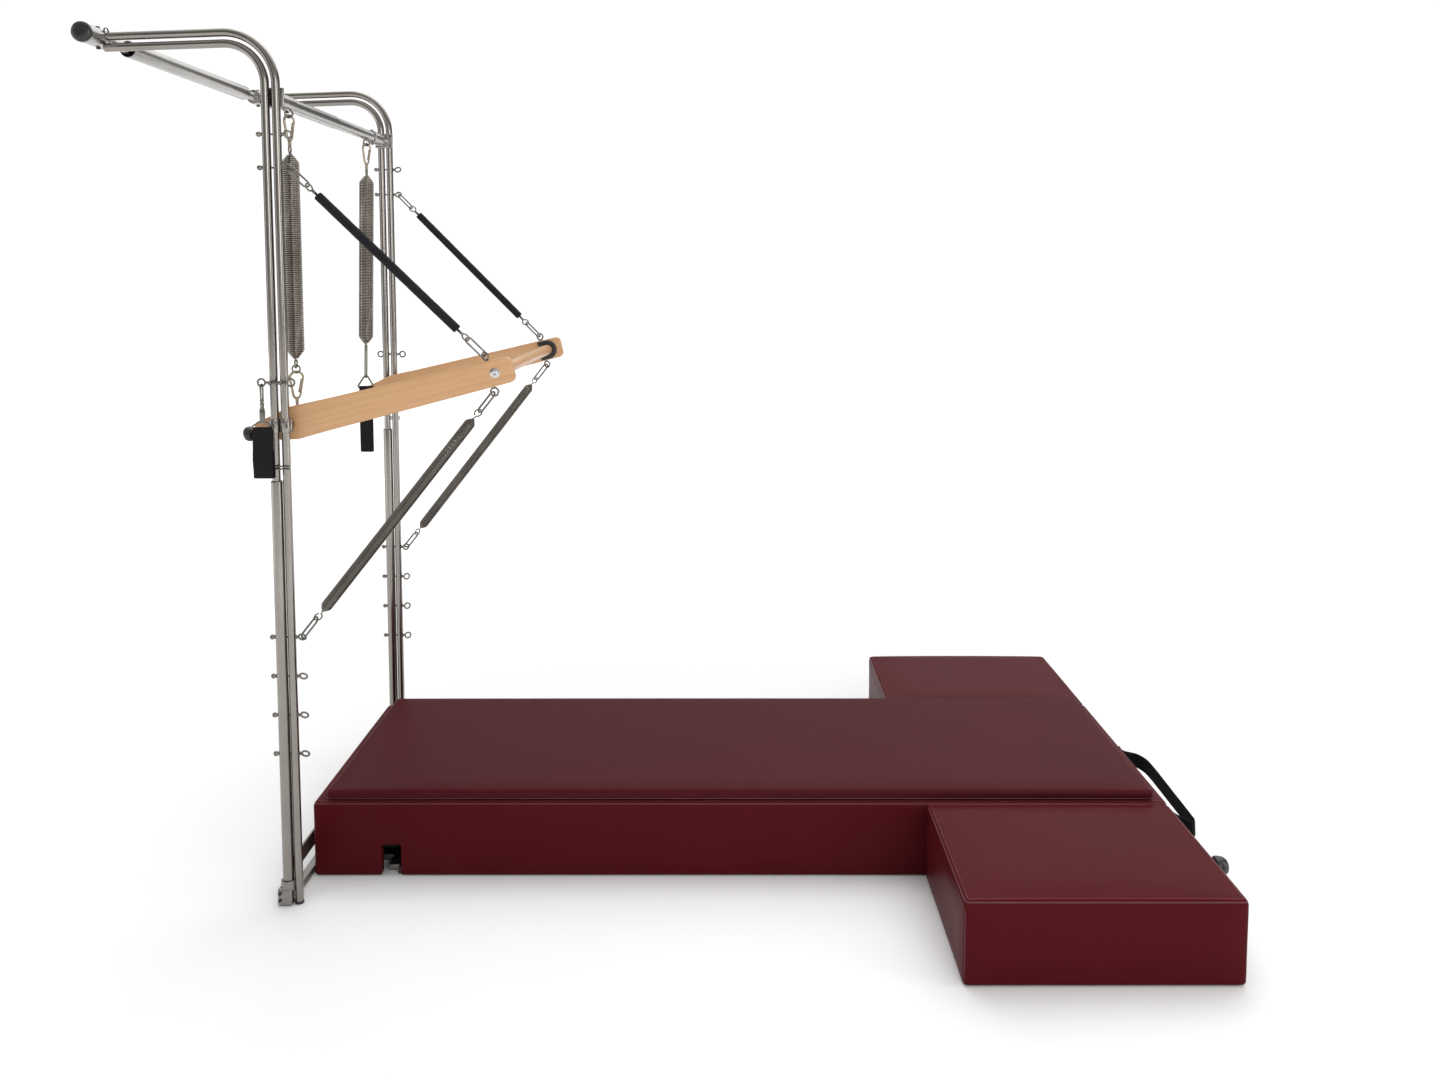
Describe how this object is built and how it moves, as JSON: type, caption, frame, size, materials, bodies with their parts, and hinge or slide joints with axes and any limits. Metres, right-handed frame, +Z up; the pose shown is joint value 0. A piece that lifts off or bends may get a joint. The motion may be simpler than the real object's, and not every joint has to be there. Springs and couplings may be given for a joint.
{
  "type": "pilates suspension frame",
  "caption": "Twin-tube pilates tower with a sprung wooden push-through bar, hanging springs and hand loops over a raised T-shaped burgundy mat.",
  "frame": {"origin": "middle of the footprint on the floor", "axes": "+X from the tower along the mat, +Y across the mat to the far side, +Z up"},
  "size_m": [2.7502, 1.61, 2.1815],
  "materials": {
    "polished_steel": "polished stainless tube",
    "satin_steel": "satin steel fittings",
    "spring_steel": "dark nickel-plated spring wire",
    "maple": "clear-lacquered light maple",
    "black_rubber": "matt black rubber",
    "black_webbing": "black woven webbing",
    "burgundy_vinyl": "burgundy upholstery vinyl with a fine grain"
  },
  "bodies": {
    "tower": {"near_outer_tube": "polished_steel", "near_inner_tube": "polished_steel", "near_lower_post": "polished_steel", "near_foot_clamp": "satin_steel", "near_mid_clip": "satin_steel", "near_upper_eye": "satin_steel", "near_lower_eye_1": "satin_steel", "near_lower_eye_2": "satin_steel", "near_lower_eye_3": "satin_steel", "near_lower_eye_4": "satin_steel", "near_pivot_collar": "satin_steel", "near_front_cap": "black_rubber", "near_wing": "burgundy_vinyl", "far_outer_tube": "polished_steel", "far_inner_tube": "polished_steel", "far_lower_post": "polished_steel", "far_foot_clamp": "satin_steel", "far_mid_clip": "satin_steel", "far_upper_eye": "satin_steel", "far_lower_eye_1": "satin_steel", "far_lower_eye_2": "satin_steel", "far_lower_eye_3": "satin_steel", "far_lower_eye_4": "satin_steel", "far_pivot_collar": "satin_steel", "far_front_cap": "black_rubber", "far_wing": "burgundy_vinyl", "front_bar": "polished_steel", "rear_bar": "satin_steel", "floor_frame": "satin_steel", "mat_body": "burgundy_vinyl", "mat_pad": "burgundy_vinyl", "carry_strap": "black_webbing", "end_knob": "black_rubber"},
    "sleeve": {"front_sleeve": "polished_steel"},
    "push_bar": {"near_arm_board": "maple", "far_arm_board": "maple", "near_board_eyes": "satin_steel", "far_board_eyes": "satin_steel", "handle_dowel": "maple", "rear_dowel": "maple", "near_handle_bolt": "polished_steel", "far_handle_pad": "black_rubber", "tail_knob": "black_rubber"},
    "lower_springs": {"near_lower_eye_link": "satin_steel", "far_lower_eye_link": "satin_steel", "near_lower_spring": "spring_steel", "far_lower_spring": "spring_steel"},
    "lower_links": {"near_lower_bar_link": "satin_steel", "far_lower_bar_link": "satin_steel"},
    "upper_cords": {"near_upper_eye_link": "satin_steel", "far_upper_eye_link": "satin_steel", "near_upper_cord": "black_webbing", "far_upper_cord": "black_webbing"},
    "upper_links": {"near_upper_bar_link": "satin_steel", "far_upper_bar_link": "satin_steel"},
    "near_hanger": {"near_hanging_spring": "spring_steel"},
    "far_hanger": {"far_hanging_spring": "spring_steel", "far_hand_loop": "black_webbing"},
    "near_loop": {"near_loop_hook": "satin_steel", "near_hand_loop": "black_webbing"}
  },
  "joints": [
    {"name": "push_bar_swing", "type": "hinge", "parent": "tower", "child": "push_bar", "pos_m": [-0.93015, 0, 1.222], "axis": [0, -1, 0], "range_deg": [-15, 15], "stiffness_Nm_per_rad": 120, "springref_deg": 3.44},
    {"name": "lower_springs_turn", "type": "hinge", "parent": "tower", "child": "lower_springs", "pos_m": [-0.90415, 0, 0.69], "axis": [0, -1, 0], "range_deg": [-7.4, 7.4]},
    {"name": "lower_springs_stretch", "type": "slide", "parent": "lower_springs", "child": "lower_links", "axis": [0.6191, 0, 0.7853], "range_m": [-0.0932, 0.0932], "deforming": ["near_lower_spring", "far_lower_spring"]},
    {"name": "upper_cords_turn", "type": "hinge", "parent": "tower", "child": "upper_cords", "pos_m": [-0.90415, 0, 1.85], "axis": [0, -1, 0], "range_deg": [-5.22, 5.22]},
    {"name": "upper_cords_stretch", "type": "slide", "parent": "upper_cords", "child": "upper_links", "axis": [0.7072, 0, -0.707], "range_m": [-0.1232, 0.1232], "deforming": ["near_upper_cord", "far_upper_cord"]},
    {"name": "front_sleeve_spin", "type": "hinge", "parent": "tower", "child": "sleeve", "pos_m": [-1.35115, 0, 2.158], "axis": [0, 1, 0], "continuous": true},
    {"name": "near_hanger_swing", "type": "hinge", "parent": "tower", "child": "near_hanger", "pos_m": [-0.94315, -0.35, 1.9908], "axis": [0, 1, 0], "range_deg": [-20, 25]},
    {"name": "far_hanger_swing", "type": "hinge", "parent": "tower", "child": "far_hanger", "pos_m": [-0.94315, 0.27, 1.9908], "axis": [0, 1, 0], "range_deg": [0, 25]},
    {"name": "near_loop_swing", "type": "hinge", "parent": "tower", "child": "near_loop", "pos_m": [-0.97915, -0.4815, 1.3258], "axis": [0, 1, 0], "range_deg": [-20, 25]}
  ],
  "couplings": [
    {"joint": "lower_springs_turn", "follows": "push_bar_swing", "ratio": 0.48376},
    {"joint": "lower_springs_stretch", "follows": "push_bar_swing", "m_per_rad": 0.34918},
    {"joint": "upper_cords_turn", "follows": "push_bar_swing", "ratio": 0.34123},
    {"joint": "upper_cords_stretch", "follows": "push_bar_swing", "m_per_rad": -0.46146}
  ]
}
